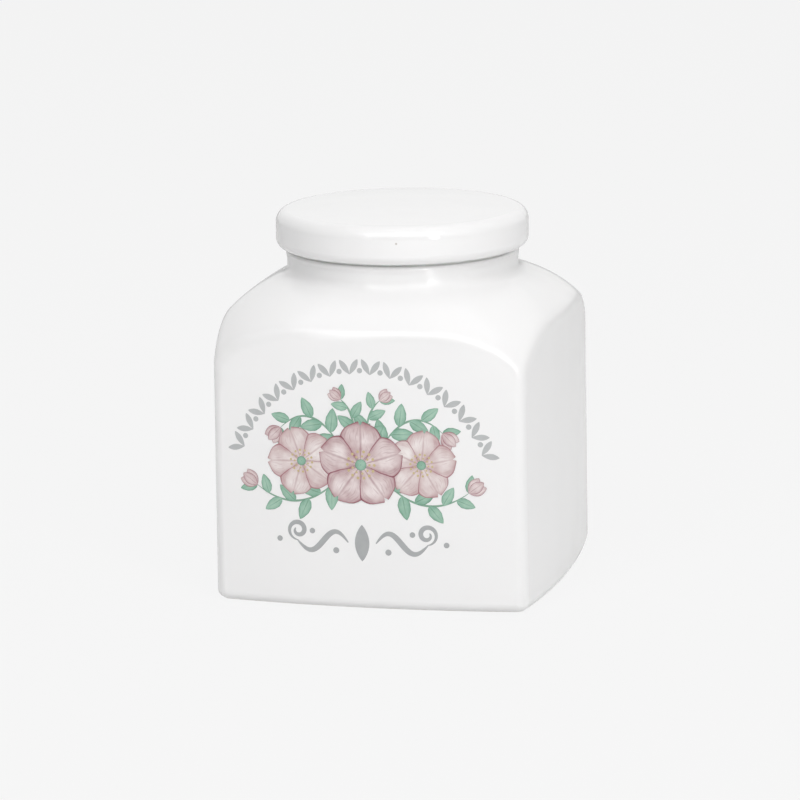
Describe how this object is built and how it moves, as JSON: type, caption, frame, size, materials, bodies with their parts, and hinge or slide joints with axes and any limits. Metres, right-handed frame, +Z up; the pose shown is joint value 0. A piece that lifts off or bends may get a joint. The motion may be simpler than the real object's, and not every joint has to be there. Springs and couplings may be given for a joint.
{
  "type": "garlic keeper",
  "caption": "Square glazed porcelain jar with bowed sides, a domed shoulder and a round neck, closed by a thick round lid that lifts off a soft seal ring.",
  "frame": {"origin": "on the surface that the jar stands on, in the middle of its foot ring", "axes": "+Z up through the neck and lid; -Y out of the printed front side; +X out of the side at its right"},
  "size_m": [0.12, 0.12, 0.1348],
  "materials": {
    "jar_glaze": "clear gloss glaze on white porcelain, bare on the foot ring",
    "lid_glaze": "clear gloss glaze on white porcelain",
    "seal_silicone": "translucent white silicone, satin"
  },
  "bodies": {
    "jar": {"jar": "jar_glaze"},
    "seal": {"seal_ring": "seal_silicone"},
    "lid": {"lid": "lid_glaze"}
  },
  "joints": [
    {"name": "lid_lift", "type": "slide", "parent": "jar", "child": "seal", "axis": [0, 0, 1], "range_m": [0, 0.08]},
    {"name": "lid_turn", "type": "hinge", "parent": "seal", "child": "lid", "pos_m": [0, 0, 0.1194], "axis": [0, 0, 1], "continuous": true}
  ]
}
